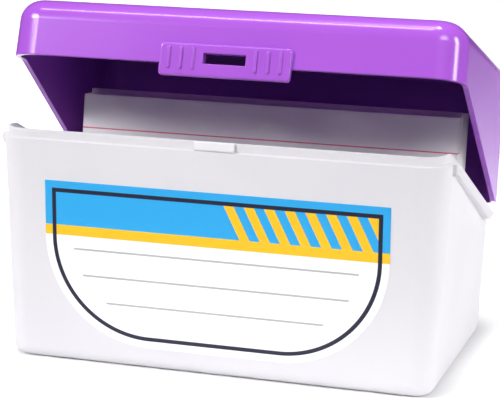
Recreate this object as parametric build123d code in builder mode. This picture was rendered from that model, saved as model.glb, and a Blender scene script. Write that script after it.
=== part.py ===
"""Index card box: a tapered tub with a sloped rim, a snap-hinged lid part open, a label and a stack of cards.

Millimetres, +Z up, +X to the right of the front. The origin is at the middle of the underside of the tub.
"""

import os
from math import cos, radians, sin, tan

from build123d import *

os.makedirs("parts", exist_ok=True)

# Standard card, and the room beside it on the floor of the tub
card_width = 127.0
card_height = 76.2
card_thickness = 0.25
card_side_room = 2.93

# Tub: depth and corner hold at the front lip, and the walls narrow downwards
base_depth = 88.0
base_height = 74.0
base_draft = 2.3
base_corner_radius = 9.0
base_wall = 2.2
base_floor = 2.6
base_bottom_round = 3.8
floor_round = 1.5

# Rim in side view: level round the front, a slope down each side, level round the rear
rim_front_length = 11.3
rim_rear_length = 10.6
rim_drop = 28.0
rim_bend_radius = 6.0

# Lip that the lid goes over, and the ledge along each side that carries the lid
lip_height = 2.8
lip_wall = 1.0
ledge_proud = 2.4
ledge_height = 3.4
ledge_bevel = 1.5
ledge_front_inset = 8.5
ledge_rear_inset = 15.0

# Lid: its height is from the front rim to the top, and the walls narrow upwards
lid_height = 18.4
lid_draft = 1.4
lid_wall = 1.7
lid_top_round = 7.0
lid_side_gap = 0.3
lid_swing_gap = 0.95
lid_seat_gap = 0.2
lid_rest_angle = 16.5

# Tab at the front of the lid, its window and grip ridges, and the catch on the lip
tab_width = 41.7
tab_rise = 6.0
tab_drop = 4.0
tab_proud = 1.3
tab_wall = 1.8
tab_radius = 1.2
tab_edge_radius = 0.6
window_width = 13.6
window_height = 3.3
ridge_count = 3
ridge_pitch = 3.9
ridge_width = 0.9
ridge_length = 6.8
ridge_raise = 0.5
ridge_proud = 0.35
catch_width = 13.0
catch_proud = 0.95
catch_top_proud = 0.35
catch_gap = 0.2

# Snap hinge: knuckles on the tub, and ears with pins on the lid
hinge_rise = 1.3
hinge_standoff = 2.8
hinge_spacing = 84.0
knuckle_width = 12.0
knuckle_radius = 3.0
knuckle_gap = 0.4
gusset_drop = 11.0
pin_radius = 1.5
pin_clearance = 0.06
pin_length = 4.5
ear_width = 3.2
ear_gap = 0.3

# Label on the front wall, with a straight top and wide round lower corners
label_width = 110.0
label_height = 51.5
label_top_radius = 2.5
label_foot_radius = 34.0
label_thickness = 0.12
label_middle = 32.8

# Cards: the front one's lower edge, then a fan of loose cards and a packet behind it
card_shift_share = 0.55
card_foot_inset = 39.7
card_lean = 7.6
card_lean_step = 0.35
card_fan_step = 0.3
card_gap = 0.12
card_floor_gap = 0.15
packet_cards = 38

# Worked out from the sizes above
overrun = base_wall
draft_ratio = tan(radians(base_draft))
base_side = card_side_room + base_wall + (base_height - base_floor) * draft_ratio
base_width = card_width + 2 * base_side
reach = base_width
rim_bend_front = rim_front_length - base_depth / 2
rim_bend_rear = base_depth / 2 - rim_rear_length
rim_slope = rim_drop / (rim_bend_rear - rim_bend_front)
rim_rear_height = base_height - rim_drop
shoulder_height = base_height - lip_height
ledge_front = ledge_front_inset - base_depth / 2
ledge_rear = base_depth / 2 - ledge_rear_inset
lip_inset = base_wall - lip_wall
lip_depth = base_depth - 2 * lip_inset
lid_rim = shoulder_height + lid_seat_gap
lid_inner_width = base_width - 2 * lip_inset + 2 * lid_side_gap
lid_inner_depth = lip_depth + 2 * lid_swing_gap
lid_inner_radius = base_corner_radius - lip_inset + lid_side_gap
lid_front = lid_inner_depth / 2 + lid_wall
lid_low = rim_rear_height - lip_height - overrun
closed_height = lid_rim + lid_height
hinge_height = rim_rear_height - lip_height + hinge_rise
card_offset = card_side_room * card_shift_share
card_foot = card_foot_inset - base_depth / 2


def wall_face(height):
    """How far the tub's outer front or rear wall stands from the middle, at a height"""
    return base_depth / 2 - (base_height - height) * draft_ratio


hinge_y = wall_face(hinge_height) + hinge_standoff
hinge_places = [-hinge_spacing / 2, hinge_spacing / 2]
ear_radius = hinge_standoff - ear_gap
bore_radius = pin_radius + pin_clearance


def tapered_block(width, depth, radius, low, high, draft, reference, mode=Mode.ADD):
    """Rounded block whose walls lean out by draft; width, depth and radius hold at the reference height"""
    grow = (low - reference) * tan(radians(draft))
    with BuildSketch(Plane.XY.offset(low)) as outline:
        RectangleRounded(width + 2 * grow, depth + 2 * grow, radius + grow)
    extrude(outline.sketch, amount=high - low, taper=-draft, mode=mode)


def rim_points(drop):
    """Corners of the rim line in side view, lowered by drop"""
    front = base_height - drop
    rear = rim_rear_height - drop
    return [(-reach, front), (rim_bend_front, front), (rim_bend_rear, rear), (reach, rear)]


def rim_side(drop, far, mode=Mode.ADD):
    """All that lies between the rim line, lowered by drop, and the level far above or below it"""
    with BuildSketch(Plane.YZ) as side_view:
        with BuildLine():
            rim = FilletPolyline(*rim_points(drop), radius=rim_bend_radius)
            Polyline(rim @ 1, (reach, far), (-reach, far), rim @ 0)
        make_face()
    extrude(side_view.sketch, amount=reach, both=True, mode=mode)


def shoulder_at(y):
    """Height of the shoulder below the lip, at a depth ahead of the rear bend"""
    return shoulder_height - max(0, y - rim_bend_front) * rim_slope


# Hollow of the tub
with BuildPart() as cavity:
    tapered_block(
        base_width - 2 * base_wall,
        base_depth - 2 * base_wall,
        base_corner_radius - base_wall,
        base_floor,
        base_height + overrun,
        base_draft,
        base_height,
    )
    fillet(cavity.edges().group_by(Axis.Z)[0], radius=floor_round)

# Step that leaves the thin lip standing inside the lid
with BuildPart() as rebate:
    rim_side(lip_height, base_height + overrun)
    tapered_block(
        base_width - 2 * lip_inset,
        lip_depth,
        base_corner_radius - lip_inset,
        0,
        base_height + overrun,
        base_draft,
        base_height,
        mode=Mode.SUBTRACT,
    )

# Bar whose two ends become the side ledges
with BuildPart() as ledge:
    with BuildSketch(Plane.YZ):
        with BuildLine():
            Polyline(
                (ledge_front, shoulder_at(ledge_front)),
                (rim_bend_front, shoulder_at(rim_bend_front)),
                (ledge_rear, shoulder_at(ledge_rear)),
                (ledge_rear, shoulder_at(ledge_rear) - ledge_height),
                (rim_bend_front, shoulder_at(rim_bend_front) - ledge_height),
                (ledge_front, shoulder_at(ledge_front) - ledge_height),
                close=True,
            )
        make_face()
    extrude(amount=base_width / 2 + ledge_proud, both=True)
    chamfer(ledge.faces().filter_by(Axis.X).edges(), length=ledge_bevel)

# Tub
with BuildPart() as base:
    tapered_block(base_width, base_depth, base_corner_radius, 0, base_height, base_draft, base_height)
    fillet(base.edges().group_by(Axis.Z)[0], radius=base_bottom_round)
    add(ledge.part)
    add(cavity.part, mode=Mode.SUBTRACT)
    rim_side(0, base_height + overrun, mode=Mode.SUBTRACT)
    add(rebate.part, mode=Mode.SUBTRACT)

    # Catch: a ramp in the middle of the front lip
    catch_root = -lip_depth / 2 + lip_wall / 2
    catch_low = shoulder_height + catch_gap
    with BuildSketch(Plane.YZ):
        with BuildLine():
            Polyline(
                (catch_root, catch_low),
                (-lip_depth / 2 - catch_proud, catch_low),
                (-lip_depth / 2 - catch_top_proud, base_height),
                (catch_root, base_height),
                close=True,
            )
        make_face()
    extrude(amount=catch_width / 2, both=True)

    # Knuckles, each on a gusset that runs down into the rear wall
    gusset_foot = hinge_height - gusset_drop
    for place in hinge_places:
        with BuildSketch(Plane.YZ.offset(place - knuckle_width / 2)):
            with Locations((hinge_y, hinge_height)):
                Circle(knuckle_radius)
            with BuildLine():
                Polyline(
                    (wall_face(gusset_foot) - base_wall / 2, gusset_foot),
                    (hinge_y, hinge_height - knuckle_radius),
                    (hinge_y, hinge_height),
                    (wall_face(hinge_height) - lip_inset, hinge_height),
                    close=True,
                )
            make_face()
            with Locations((hinge_y, hinge_height)):
                Circle(bore_radius, mode=Mode.SUBTRACT)
        extrude(amount=knuckle_width)
    # A clear bore, also where the gusset meets it
    with BuildSketch(Plane.YZ):
        with Locations((hinge_y, hinge_height)):
            Circle(bore_radius)
    extrude(amount=reach, both=True, mode=Mode.SUBTRACT)

# Hollow of the lid, as it is when closed
with BuildPart() as hollow:
    tapered_block(
        lid_inner_width,
        lid_inner_depth,
        lid_inner_radius,
        lid_low - overrun,
        closed_height - lid_wall,
        -lid_draft,
        lid_rim,
    )
    fillet(hollow.edges().group_by(Axis.Z)[-1], radius=lid_top_round - lid_wall)

# Lid, modelled closed and then swung open to the pose of the photograph
with BuildPart() as lid:
    tapered_block(
        lid_inner_width + 2 * lid_wall,
        lid_inner_depth + 2 * lid_wall,
        lid_inner_radius + lid_wall,
        lid_low,
        closed_height,
        -lid_draft,
        lid_rim,
    )
    fillet(lid.edges().group_by(Axis.Z)[-1], radius=lid_top_round)
    add(hollow.part, mode=Mode.SUBTRACT)
    rim_side(lip_height - lid_seat_gap, lid_low - overrun, mode=Mode.SUBTRACT)

    # Notches for the knuckles, ears beside them, and pins that reach into the bores
    notch_width = knuckle_width + 2 * ear_gap
    notch_top = hinge_height + knuckle_radius + knuckle_gap
    for place in hinge_places:
        with BuildSketch(Plane.XZ):
            with Locations((place, lid_low)):
                Rectangle(notch_width, notch_top - lid_low, align=(Align.CENTER, Align.MIN))
        extrude(amount=-reach, mode=Mode.SUBTRACT)
        for side in (-1, 1):
            ear_start = place + side * notch_width / 2
            with BuildSketch(Plane.YZ.offset(ear_start)):
                with Locations((hinge_y, hinge_height)):
                    Circle(ear_radius)
            extrude(amount=side * ear_width)
            with BuildSketch(Plane.YZ.offset(ear_start)):
                with Locations((hinge_y, hinge_height)):
                    Circle(pin_radius)
            extrude(amount=-side * pin_length)

    # Tab with its window and grip ridges
    tab_face = lid_front + tab_proud
    tab_middle = lid_rim + (tab_rise - tab_drop) / 2
    with BuildSketch(Plane.XZ.offset(tab_face - tab_wall)):
        with Locations((0, tab_middle)):
            RectangleRounded(tab_width, tab_rise + tab_drop, tab_radius)
    extrude(amount=tab_wall)
    fillet(lid.faces().sort_by(Axis.Y)[0].edges(), radius=tab_edge_radius)
    with BuildSketch(Plane.XZ.offset(tab_face)):
        for side in (-1, 1):
            ridge_middle = side * (tab_width + window_width) / 4
            with Locations((ridge_middle, tab_middle + ridge_raise)):
                with GridLocations(ridge_pitch, 0, ridge_count, 1):
                    SlotOverall(ridge_length, ridge_width, rotation=90)
    extrude(amount=ridge_proud)
    with BuildSketch(Plane.XZ):
        with Locations((0, lid_rim + window_height / 2)):
            Rectangle(window_width, window_height)
    extrude(amount=tab_face + overrun, mode=Mode.SUBTRACT)

hinge_axis = Axis((0, hinge_y, hinge_height), (1, 0, 0))
lid_open = lid.part.rotate(hinge_axis, -lid_rest_angle)

# Label, flat on the leaning front wall
label_plane = Plane(
    origin=(0, -wall_face(label_middle), label_middle),
    x_dir=(1, 0, 0),
    z_dir=(0, -cos(radians(base_draft)), -sin(radians(base_draft))),
)
with BuildPart() as label:
    with BuildSketch(label_plane) as label_face:
        Rectangle(label_width, label_height)
        feet, tops = label_face.vertices().group_by(Axis.Y)
        fillet(feet, radius=label_foot_radius)
        fillet(tops, radius=label_top_radius)
    extrude(amount=label_thickness)


def card_block(index, thickness):
    """Card or packet that stands index places behind the front card, fanned about its lower right corner"""
    lean = radians(card_lean + index * card_lean_step)
    fan = radians(index * card_fan_step)
    rise = thickness * sin(lean)
    corner = (
        card_offset + card_width / 2,
        card_foot + index * (card_thickness + card_gap) + rise * tan(lean),
        base_floor + card_floor_gap + rise,
    )
    plane = Plane(
        origin=corner,
        x_dir=(cos(fan), -sin(fan), 0),
        z_dir=(-sin(fan) * cos(lean), -cos(fan) * cos(lean), sin(lean)),
    )
    with BuildPart() as block:
        with BuildSketch(plane):
            with Locations((-card_width / 2, card_height / 2)):
                Rectangle(card_width, card_height)
        extrude(amount=-thickness)
    return block.part


loose_cards = ["front_card", "second_card", "third_card", "fourth_card"]
pieces = {"base": base.part, "lid": lid_open, "label": label.part}
for index, name in enumerate(loose_cards):
    pieces[name] = card_block(index, card_thickness)
pieces["card_packet"] = card_block(len(loose_cards), packet_cards * card_thickness)

for name, piece in pieces.items():
    piece.label = name
    export_step(piece, f"parts/{name}.step")
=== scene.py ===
"""Index card box: the finish of the tub, lid, label and cards, and the studio around them.

Metres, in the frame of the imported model: +Z up, +X to the right of the front, and the origin under the
middle of the tub.
"""

from math import cos, radians, sin

import bpy
import numpy as np
from mathutils import Euler, Matrix, Vector


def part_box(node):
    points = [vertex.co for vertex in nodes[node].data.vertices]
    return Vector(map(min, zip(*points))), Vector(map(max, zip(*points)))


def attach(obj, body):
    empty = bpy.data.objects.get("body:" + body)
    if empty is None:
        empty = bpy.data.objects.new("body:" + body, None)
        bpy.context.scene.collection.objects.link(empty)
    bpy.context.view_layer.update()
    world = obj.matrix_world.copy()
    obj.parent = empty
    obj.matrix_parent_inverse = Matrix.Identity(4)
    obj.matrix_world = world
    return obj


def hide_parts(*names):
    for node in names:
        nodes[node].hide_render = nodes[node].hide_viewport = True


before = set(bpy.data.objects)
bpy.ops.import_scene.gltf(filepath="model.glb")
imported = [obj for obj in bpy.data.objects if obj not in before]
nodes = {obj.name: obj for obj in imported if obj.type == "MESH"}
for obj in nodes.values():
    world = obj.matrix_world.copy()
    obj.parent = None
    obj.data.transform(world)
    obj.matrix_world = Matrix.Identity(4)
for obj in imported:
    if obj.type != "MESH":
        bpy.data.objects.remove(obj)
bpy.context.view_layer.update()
scene = bpy.context.scene
MM = 0.001

# Camera: where it looks, from which side, and its lens in pixels of the picture
picture_width = 500
sensor_width = 36.0
focal_pixels = 1822.82
camera_target = (-1.606 * MM, 0, 47.029 * MM)
camera_distance = 593.58 * MM
camera_azimuth = 16.983
camera_elevation = 11.952
camera_roll = 1.106

# Studio: the point that the lights face, the floor, and the soft edges that they show on the mouldings
box_middle = (0, 0, 60 * MM)
floor_reach = 6.0
floor_cells = 4
tub_edge_radius = 1.0 * MM
lid_edge_radius = 0.5 * MM

# Cards, and the soft edge of all print
ink_soft = 0.05 * MM
card_thickness = 0.25 * MM
packet_cards = 38
header_drop = 11.2 * MM
rule_first = 17.55 * MM
rule_pitch = 6.35 * MM
rule_width = 0.22 * MM
header_width = 0.42 * MM
worn_width = 0.5 * MM

# Packet: how far its sheets stray from a square stack, with the turn in degrees, and their mesh
sheet_seed = 35
sheet_side_play = 0.25 * MM
sheet_drop = 0.30 * MM
sheet_turn = 0.10
sheet_gap_share = 0.05
sheet_stations = 9

# Label: its outline again, and the plain print on it
label_top_radius = 2.5 * MM
label_foot_radius = 34.0 * MM
keyline_inset = 2.3 * MM
keyline_width = 1.3 * MM
band_height = 14.0 * MM
stripe_height = 3.2 * MM
bar_pitch = 6.4 * MM
bar_start = 24.0 * MM
bar_slant_share = 0.5
bar_soft_share = 0.02
write_pitch = 8.4 * MM
write_width = 0.3 * MM
write_inset = 9.0 * MM


class Field:
    """A shader socket as a value: sums, products and the like of fields and numbers add Math nodes"""

    def __init__(self, tree, socket=None):
        self.tree = tree
        self.socket = socket

    def node(self, kind, settings=None, sockets=None, output=0):
        """New node of a kind: its settings first, then its sockets by name or number; gives one output"""
        made = self.tree.nodes.new("ShaderNode" + kind)
        for name, value in (settings or {}).items():
            setattr(made, name, value)
        for name, value in (sockets or {}).items():
            if isinstance(value, Field):
                self.tree.links.new(value.socket, made.inputs[name])
            else:
                made.inputs[name].default_value = value
        return Field(self.tree, made.outputs[output])

    def math(self, operation, *others):
        """Math node with this field as its first input"""
        return self.node("Math", {"operation": operation}, dict(enumerate((self, *others))))

    def __add__(self, other):
        return self.math("ADD", other)

    __radd__ = __add__

    def __mul__(self, other):
        return self.math("MULTIPLY", other)

    __rmul__ = __mul__

    def __sub__(self, other):
        return self.math("SUBTRACT", other)

    def __rsub__(self, other):
        return self.node("Math", {"operation": "SUBTRACT"}, {0: other, 1: self})

    def __truediv__(self, other):
        return self.math("DIVIDE", other)

    def __neg__(self):
        return self * -1

    def __abs__(self):
        return self.math("ABSOLUTE")

    def above(self, level, soft):
        """1 where the field is over a level and 0 under it, with a soft step"""
        sockets = {"Value": self, "From Min": level - soft, "From Max": level + soft}
        return self.node("MapRange", {"interpolation_type": "SMOOTHSTEP"}, sockets)

    def below(self, level, soft):
        """1 where the field is under a level"""
        return 1 - self.above(level, soft)


def mix(factor, first, second):
    """Colour that goes from first to second with a field"""
    start, end = [colour if isinstance(colour, Field) else (*colour, 1) for colour in (first, second)]
    return factor.node("Mix", {"data_type": "RGBA"}, {0: factor, 6: start, 7: end}, output=2)


def linear(red, green, blue):
    """Scene colour of a screen colour that is given in 0 to 255"""
    share = np.array((red, green, blue)) / 255
    return tuple(np.where(share <= 0.04045, share / 12.92, ((share + 0.055) / 1.055) ** 2.4).tolist())


def new_material(name, constants):
    """Material with one Principled shader; gives it, the shader and a field to make nodes from"""
    material = bpy.data.materials.new(name)
    material.use_nodes = True
    shader = material.node_tree.nodes["Principled BSDF"]
    for socket, value in constants.items():
        shader.inputs[socket].default_value = value
    return material, shader, Field(material.node_tree)


def feed(shader, **fields):
    """Links fields to the shader's sockets"""
    for name, field in fields.items():
        field.tree.links.new(field.socket, shader.inputs[name.replace("_", " ")])


def noise(make, place, scale, detail):
    """Noise over a place, with a scale in cycles a metre"""
    return make.node("TexNoise", None, {"Vector": place, "Scale": scale, "Detail": detail})


def stretched(make, place, scale):
    """Place stretched along each axis"""
    return make.node("Mapping", None, {"Vector": place, "Scale": scale})


def soft_edges(make, radius):
    """Normal with the sharp edges rounded"""
    return make.node("Bevel", {"samples": 6}, {"Radius": radius})


def relief(make, height, strength, distance, **under):
    """Normal that follows a fine height field, over another normal if one is given"""
    return make.node("Bump", None, {"Strength": strength, "Distance": distance, "Height": height, **under})


def object_place(make):
    """Object coordinates"""
    return make.node("TexCoord", output=3)


def local_place(make, axes, origin):
    """Object coordinates seen from a piece's own axes (its right, up and outward directions) at its origin"""
    turn = Matrix([list(row) for row in np.array(axes).T]).to_euler()
    sockets = {"Vector": object_place(make), "Location": tuple(origin), "Rotation": tuple(turn)}
    place = make.node("Mapping", {"vector_type": "TEXTURE"}, sockets)
    return place, [make.node("SeparateXYZ", None, {0: place}, output=axis) for axis in range(3)]


def milky_plastic():
    """Translucent polypropylene: milky, with clouds of flow, a satin grain and a few faint rubs

    Light that isn't turned back at a face goes on through the wall, so the hollow behind it is lit as well.
    """
    material, shader, make = new_material("milky_plastic_finish", {"IOR": 1.49, "Specular IOR Level": 0.2})
    place = object_place(make)
    clouds = noise(make, place, 26, 2)
    grain = noise(make, place, 2600, 2)
    rubs = noise(make, stretched(make, place, (40, 40, 400)), 3, 4)
    colour = mix(clouds.above(0.5, 0.28), linear(230, 228, 233), linear(235, 233, 237))
    rough = 0.40 + 0.12 * clouds + 0.10 * rubs.above(0.62, 0.12)
    edges = soft_edges(make, tub_edge_radius)
    bump = relief(make, grain + 0.4 * rubs, strength=0.08, distance=0.05 * MM, Normal=edges)
    feed(shader, Base_Color=colour, Roughness=rough, Normal=bump)
    through = make.node("BsdfTranslucent", None, {"Color": (*linear(238, 236, 240), 1), "Normal": bump})
    sockets = {0: 0.10 + 0.06 * clouds, 1: Field(make.tree, shader.outputs[0]), 2: through}
    wall = make.node("MixShader", None, sockets)
    make.tree.links.new(wall.socket, material.node_tree.nodes["Material Output"].inputs["Surface"])
    return material


def purple_plastic():
    """Glossy moulded plastic: slight flow shades, a shallow ripple of the mould and a fine grain"""
    constants = {"IOR": 1.5, "Specular IOR Level": 0.4, "Coat Roughness": 0.07}
    material, shader, make = new_material("purple_plastic_finish", constants)
    place = object_place(make)
    flow = noise(make, place, 18, 2)
    ripple = noise(make, place, 320, 1)
    grain = noise(make, place, 3200, 2)
    colour = mix(flow.above(0.5, 0.3), linear(164, 87, 206), linear(168, 91, 209))
    rough = 0.15 + 0.05 * flow
    edges = soft_edges(make, lid_edge_radius)
    bump = relief(make, ripple + 0.25 * grain, strength=0.02, distance=0.06 * MM, Normal=edges)
    feed(shader, Base_Color=colour, Roughness=rough, Coat_Weight=0.05 + 0.1 * flow, Normal=bump)
    return material


def label_finish(node):
    """Printed sticker: a plain header band, a stripe, slanted bars, a keyline and lines to write on

    The outline is a U with round lower corners, closed by a straight top. With the distance to the U as
    length(max(q, 0)) + min(max(q), 0) - foot radius, and the distance to the top edge, their rounded maximum
    gives the depth inside the label, which carries the keyline. The slanted bars fill the second half of each
    pitch, from the first whole pitch on.
    """
    material, shader, make = new_material("label_print", {"Specular IOR Level": 0.5, "IOR": 1.5})
    low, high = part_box(node)
    tilt = np.array((0, low.y - high.y, high.z - low.z))
    up = tilt / np.linalg.norm(tilt)
    axes = np.array(((1, 0, 0), up, np.cross((1, 0, 0), up)))
    width = high.x - low.x
    height = np.linalg.norm(tilt)
    origin = Vector(((low.x + high.x) / 2, high.y, low.z))
    place, (across, along, _) = local_place(make, axes, origin)

    side = abs(across) - (width / 2 - label_foot_radius)
    foot = label_foot_radius - along
    inner = side.math("MAXIMUM", foot).math("MINIMUM", 0)
    outer_side, outer_foot = side.math("MAXIMUM", 0), foot.math("MAXIMUM", 0)
    cup = (outer_side * outer_side + outer_foot * outer_foot).math("SQRT") + inner - label_foot_radius
    round_cup, round_top = cup + label_top_radius, along - (height - label_top_radius)
    cup_part, top_part = round_cup.math("MAXIMUM", 0), round_top.math("MAXIMUM", 0)
    corner = (cup_part * cup_part + top_part * top_part).math("SQRT")
    depth = label_top_radius - corner - round_cup.math("MAXIMUM", round_top).math("MINIMUM", 0)

    keyline = depth.above(keyline_inset, ink_soft) * depth.below(keyline_inset + keyline_width, ink_soft)
    inside = depth.above(keyline_inset + keyline_width, ink_soft)
    fall = height - along
    band = fall.below(band_height, ink_soft)
    stripe = fall.above(band_height, ink_soft) * fall.below(band_height + stripe_height, ink_soft)
    slant = (across + bar_slant_share * along - bar_start) / bar_pitch
    bars = slant.math("FRACT").above(0.5, bar_soft_share) * slant.above(0.25, bar_soft_share) * band * inside
    line_place = (fall - band_height - stripe_height).math("PINGPONG", write_pitch / 2)
    lines = line_place.above(write_pitch / 2 - write_width, ink_soft)
    lines = lines * depth.above(write_inset, ink_soft) * fall.above(band_height + stripe_height, ink_soft)

    fibre = noise(make, place, 900, 4)
    speckle = noise(make, place, 4200, 2)
    white = mix(fibre, linear(250, 250, 250), linear(254, 254, 255))
    blue = mix(speckle, linear(30, 160, 226), linear(36, 172, 236))
    yellow = mix(speckle, linear(246, 188, 8), linear(251, 199, 16))
    navy = mix(speckle, linear(4, 4, 40), linear(10, 10, 52))
    print_colour = mix(band, white, blue)
    print_colour = mix(stripe, print_colour, yellow)
    print_colour = mix(bars, print_colour, yellow)
    print_colour = mix(0.55 * lines, print_colour, navy)
    print_colour = mix(keyline, print_colour, navy)
    inked = band.math("MAXIMUM", stripe).math("MAXIMUM", keyline)
    rough = 0.42 - 0.10 * inked + 0.08 * fibre
    bump = relief(make, fibre + 0.5 * inked, strength=0.10, distance=0.02 * MM)
    feed(shader, Base_Color=print_colour, Roughness=rough, Normal=bump)
    return material


def card_axes(node):
    """Right, up and outward directions of a card, its front's top left corner, and its width and height"""
    mesh = nodes[node].data
    flat = np.empty(3 * len(mesh.vertices), np.float32)
    mesh.vertices.foreach_get("co", flat)
    corners = np.unique(flat.reshape(-1, 3).round(6), axis=0)
    by_height = corners[np.argsort(corners[:, 2])]
    by_side = corners[np.argsort(corners[:, 0])]
    half = len(corners) // 2
    up = by_height[half:].mean(0) - by_height[:half].mean(0)
    right = by_side[half:].mean(0) - by_side[:half].mean(0)
    size = (np.linalg.norm(right), np.linalg.norm(up))
    right, up = right / size[0], up / size[1]
    axes = np.array((right, up, np.cross(right, up)))
    local = corners @ axes.T
    origin = axes.T @ np.array((local[:, 0].min(), local[:, 1].max(), local[:, 2].max()))
    return axes, origin, size


def card_paper(node):
    """Index card stock: fibres, a red header rule and blue rules on the front, and slightly worn edges"""
    material, shader, make = new_material(node + "_paper", {"Specular IOR Level": 0.25})
    axes, origin, (width, height) = card_axes(node)
    place, (across, along, out) = local_place(make, axes, origin)
    fibre = noise(make, place, 700, 5)
    threads = noise(make, stretched(make, place, (3, 1, 1)), 1500, 3)
    tone = noise(make, place, 40, 2)
    drop = -along
    front = out.above(-card_thickness / 2, card_thickness / 8)
    ink = 0.75 + 0.35 * fibre
    header = abs(drop - header_drop).below(header_width / 2, ink_soft) * front * ink
    rule = (drop - rule_first).math("PINGPONG", rule_pitch / 2).below(rule_width / 2, ink_soft)
    rules = rule * drop.above(rule_first - rule_pitch / 2, ink_soft) * front * ink
    edge_side = (width / 2 - abs(across - width / 2)).math("MINIMUM", drop)
    worn = edge_side.below(worn_width, worn_width) * (0.25 + 0.5 * fibre)
    paper = mix(tone.above(0.5, 0.3), linear(243, 239, 243), linear(248, 245, 248))
    paper = mix(0.18 * worn, paper, linear(190, 182, 172))
    paper = mix(0.8 * rules, paper, linear(128, 176, 222))
    paper = mix(header, paper, linear(230, 96, 118))
    bump = relief(make, fibre + 0.5 * threads, strength=0.25, distance=0.03 * MM)
    feed(shader, Base_Color=paper, Roughness=0.78 + 0.12 * fibre, Normal=bump)
    return material


def sheet_grid(axes, origin, width, height, thickness):
    """Closed thin sheet: a section (up the front face, over the top edge, down the back face) carried across

    The section is the sheet's four corners in its up and outward directions. Each station across is the same
    loop, and the two ends are capped by the loop itself.
    """
    across = np.linspace(0, width, sheet_stations)
    section = np.array(((-height, 0), (0, 0), (0, -thickness), (-height, -thickness)))
    local = np.empty((len(across), len(section), 3))
    local[:, :, 0] = across[:, None]
    local[:, :, 1:] = section
    points = (local.reshape(-1, 3) @ axes) + origin
    station, place = np.meshgrid(np.arange(len(across) - 1), np.arange(len(section)), indexing="ij")
    count = len(section)
    first, second = station * count + place, station * count + (place + 1) % count
    quads = np.stack((first, first + count, second + count, second), axis=-1).reshape(-1, count)
    near_cap = np.arange(count)
    far_cap = near_cap[::-1] + (len(across) - 1) * count
    return points, np.vstack((quads, near_cap, far_cap))


def card_stack(node):
    """The packet as its sheets, each a little short, shifted and turned, like cards that were knocked even"""
    axes, origin, (width, height) = card_axes(node)
    chance = np.random.default_rng(sheet_seed)
    points, faces, start = [], [], 0
    gap = sheet_gap_share * card_thickness
    for index in range(packet_cards):
        aside = chance.uniform(-sheet_side_play, sheet_side_play)
        shift = np.array((aside, chance.uniform(-sheet_drop, 0.0), 0))
        turn = Matrix.Rotation(radians(chance.uniform(-sheet_turn, sheet_turn)), 3, Vector(axes[2]))
        turned = np.array([list(turn @ Vector(axis)) for axis in axes])
        place = origin + shift @ axes - axes[2] * (index * card_thickness + gap)
        sheet, quads = sheet_grid(turned, place, width, height - sheet_drop, card_thickness - 2 * gap)
        points.append(sheet)
        faces.append(quads + start)
        start += len(sheet)
    mesh = bpy.data.meshes.new("card_packet_sheets")
    mesh.from_pydata(np.vstack(points).tolist(), [], np.vstack(faces).tolist())
    mesh.update()
    stack = bpy.data.objects.new("card_packet_sheets", mesh)
    scene.collection.objects.link(stack)
    return stack


def paint(node, material):
    """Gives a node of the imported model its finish"""
    nodes[node].data.materials.clear()
    nodes[node].data.materials.append(material)


def floor():
    """Plain pale floor: one wide square grid at the height of the underside"""
    row = floor_cells + 1
    sides = np.linspace(-floor_reach, floor_reach, row)
    x, y = np.meshgrid(sides, sides)
    points = np.stack((x, y, np.zeros_like(x)), axis=-1).reshape(-1, 3)
    cell = np.arange(floor_cells)
    corner = (cell[:, None] * row + cell).reshape(-1)
    quads = np.stack((corner, corner + 1, corner + row + 1, corner + row), axis=-1)
    mesh = bpy.data.meshes.new("floor")
    mesh.from_pydata(points.tolist(), [], quads.tolist())
    material, shader, make = new_material("floor_paper", {"Roughness": 0.9, "Specular IOR Level": 0.1})
    tone = noise(make, object_place(make), 3, 2)
    feed(shader, Base_Color=mix(tone, linear(246, 246, 247), linear(249, 249, 250)))
    mesh.materials.append(material)
    ground = bpy.data.objects.new("floor", mesh)
    scene.collection.objects.link(ground)


def direction(azimuth, elevation):
    """Unit vector towards an azimuth from the front, to the right, and an elevation, in degrees"""
    turn, rise = radians(azimuth), radians(elevation)
    return Vector((sin(turn) * cos(rise), -cos(turn) * cos(rise), sin(rise)))


def around(azimuth, elevation, distance):
    """Place at a distance from the middle of the box"""
    return Vector(box_middle) + direction(azimuth, elevation) * distance


def softbox(name, place, size, power, aim=box_middle, spread=40):
    """Rectangular light that faces a point, with a grid that keeps its light within a spread in degrees"""
    light = bpy.data.lights.new(name, "AREA")
    light.shape = "RECTANGLE"
    light.size, light.size_y = size
    light.energy = power
    light.spread = radians(spread)
    lamp = bpy.data.objects.new(name, light)
    lamp.location = place
    lamp.rotation_euler = (lamp.location - Vector(aim)).to_track_quat("Z", "Y").to_euler()
    scene.collection.objects.link(lamp)


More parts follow.
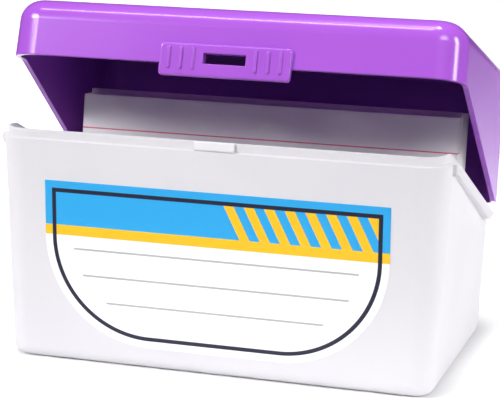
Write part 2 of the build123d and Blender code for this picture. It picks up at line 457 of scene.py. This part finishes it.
def studio():
    """Soft keys from both sides of the front, a fill on the right, a strip along the lid, and floor light

    The grids keep light off the floor ahead of the picture, which would shine up into the open lid.
    """
    world = bpy.data.worlds.new("room")
    world.use_nodes = True
    background = world.node_tree.nodes["Background"]
    background.inputs["Color"].default_value = (0.95, 0.96, 1.0, 1)
    background.inputs["Strength"].default_value = 0.03
    scene.world = world
    softbox("key_left", around(azimuth=-47, elevation=31, distance=1.2), size=(0.65, 0.3), power=0.83)
    softbox("key_right", around(azimuth=38, elevation=38, distance=1.2), size=(0.7, 0.3), power=0.34)
    softbox("fill_right", around(azimuth=88, elevation=20, distance=0.9), size=(0.2, 0.4), power=0.29)
    softbox("strip", (-0.257, -0.159, 0.91), size=(0.45, 0.08), power=0.7, aim=(-0.257, 0, 0.11), spread=90)
    softbox("floor_rear", (-0.31, 0.77, 1.3), size=(0.75, 1.1), power=3.6, aim=(-0.31, 0.79, 0), spread=30)
    softbox("floor_left", (-0.26, 0.2, 1.0), size=(0.5, 0.5), power=0.4, aim=(-0.22, 0.2, 0), spread=30)
    softbox("floor_right", (0.2, 0.1, 1.0), size=(0.3, 0.4), power=0.3, aim=(0.2, 0.1, 0), spread=20)


def camera():
    """Camera at the angle of the photograph"""
    data = bpy.data.cameras.new("camera")
    data.sensor_width = sensor_width
    data.lens = focal_pixels / picture_width * sensor_width
    data.clip_start, data.clip_end = 0.01, 50
    eye = bpy.data.objects.new("camera", data)
    back = direction(camera_azimuth, camera_elevation)
    right = Vector((cos(radians(camera_azimuth)), sin(radians(camera_azimuth)), 0))
    up = back.cross(right)
    turn = Matrix((right, up, back)).transposed()
    roll = Euler((0, 0, radians(camera_roll))).to_matrix()
    eye.rotation_euler = (turn @ roll).to_euler()
    eye.location = Vector(camera_target) + back * camera_distance
    scene.collection.objects.link(eye)
    scene.camera = eye


paint("base", milky_plastic())
paint("lid", purple_plastic())
paint("label", label_finish("label"))
for card in ("front_card", "second_card", "third_card", "fourth_card"):
    paint(card, card_paper(card))

stack = card_stack("card_packet")
stack.data.materials.append(card_paper("card_packet"))
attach(stack, "card_packet")
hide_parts("card_packet")

floor()
studio()
camera()
scene.view_settings.view_transform = "Standard"
